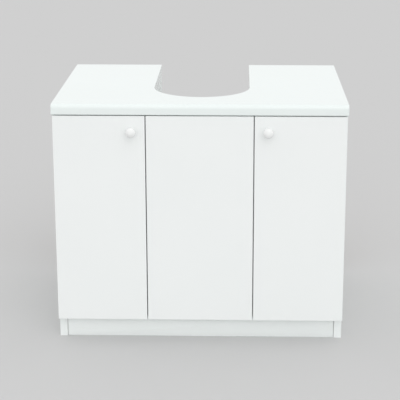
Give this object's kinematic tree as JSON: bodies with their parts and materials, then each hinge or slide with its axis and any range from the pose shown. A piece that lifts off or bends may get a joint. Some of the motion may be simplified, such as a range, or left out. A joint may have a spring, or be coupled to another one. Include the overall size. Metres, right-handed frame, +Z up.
{
  "type": "bathroom vanity cabinet",
  "caption": "Low bathroom cabinet with hinged outer doors, a fixed middle front and a U-shaped cut-out in the top and bottom for the column of a pedestal washbasin.",
  "frame": {"origin": "on the floor, at the middle of the cabinet's bounding box, knobs included", "axes": "+Z up; the doors face -Y; +X is the right-hand side seen from the front"},
  "size_m": [0.6, 0.451, 0.508],
  "materials": {
    "top_laminate": "chipboard with glossy white laminate, rolled over the front edge",
    "board_white": "white melamine chipboard, satin, edge-banded at the front",
    "front_white": "white laminated chipboard, semi-gloss, edge-banded all round",
    "hardboard": "brown hardboard, screen-textured rear face",
    "beech": "fluted beech",
    "knob_white": "gloss white moulding",
    "white_plastic": "matt white moulding",
    "clear_bumper": "clear soft bumper",
    "nickel_steel": "nickel-plated pressed steel",
    "zinc_steel": "bright zinc-plated steel",
    "zinc_alloy": "die-cast zinc"
  },
  "bodies": {
    "root": {"top_panel": "top_laminate", "bottom_panel": "board_white", "right_side_panel": "board_white", "left_side_panel": "board_white", "right_partition": "board_white", "left_partition": "board_white", "plinth_board": "board_white", "centre_front_panel": "front_white", "right_shelf": "board_white", "left_shelf": "board_white", "right_back_panel": "hardboard", "left_back_panel": "hardboard", "back_panel_nails": "zinc_steel", "shelf_pins": "zinc_steel", "cam_locks": "zinc_alloy", "cam_bolts": "zinc_steel", "dowels": "beech", "partition_confirmats": "zinc_steel", "centre_panel_blocks": "white_plastic", "plinth_blocks": "white_plastic", "corner_block_screws": "zinc_steel", "hinge_arm_screws": "zinc_steel", "hinge_plate_screws": "zinc_steel", "right_hinge_plates": "nickel_steel", "right_hinge_arms": "nickel_steel", "right_hinge_arm_pins": "zinc_steel", "left_hinge_plates": "nickel_steel", "left_hinge_arms": "nickel_steel", "left_hinge_arm_pins": "zinc_steel"},
    "right_door": {"right_door_panel": "front_white", "right_knob": "knob_white", "right_knob_screw": "zinc_steel", "right_door_bumpers": "clear_bumper", "right_hinge_cups": "nickel_steel", "right_hinge_cup_pins": "zinc_steel", "right_hinge_cup_screws": "zinc_steel"},
    "left_door": {"left_door_panel": "front_white", "left_knob": "knob_white", "left_knob_screw": "zinc_steel", "left_door_bumpers": "clear_bumper", "left_hinge_cups": "nickel_steel", "left_hinge_cup_pins": "zinc_steel", "left_hinge_cup_screws": "zinc_steel"},
    "right_hinge_link": {"right_hinge_links": "nickel_steel"},
    "left_hinge_link": {"left_hinge_links": "nickel_steel"}
  },
  "joints": [
    {"name": "right_link_swing", "type": "hinge", "parent": "root", "child": "right_hinge_link", "pos_m": [0.264, -0.1883, 0.265], "axis": [0, 0, 1], "range_deg": [-31, 0]},
    {"name": "right_door_swing", "type": "hinge", "parent": "right_hinge_link", "child": "right_door", "pos_m": [0.2874, -0.1926, 0.265], "axis": [0, 0, 1], "range_deg": [0, 124]},
    {"name": "left_link_swing", "type": "hinge", "parent": "root", "child": "left_hinge_link", "pos_m": [-0.264, -0.1883, 0.265], "axis": [0, 0, -1], "range_deg": [-31, 0]},
    {"name": "left_door_swing", "type": "hinge", "parent": "left_hinge_link", "child": "left_door", "pos_m": [-0.2874, -0.1926, 0.265], "axis": [0, 0, -1], "range_deg": [0, 124]}
  ],
  "couplings": [
    {"joint": "right_link_swing", "follows": "right_door_swing", "ratio": -0.25},
    {"joint": "left_link_swing", "follows": "left_door_swing", "ratio": -0.25}
  ]
}
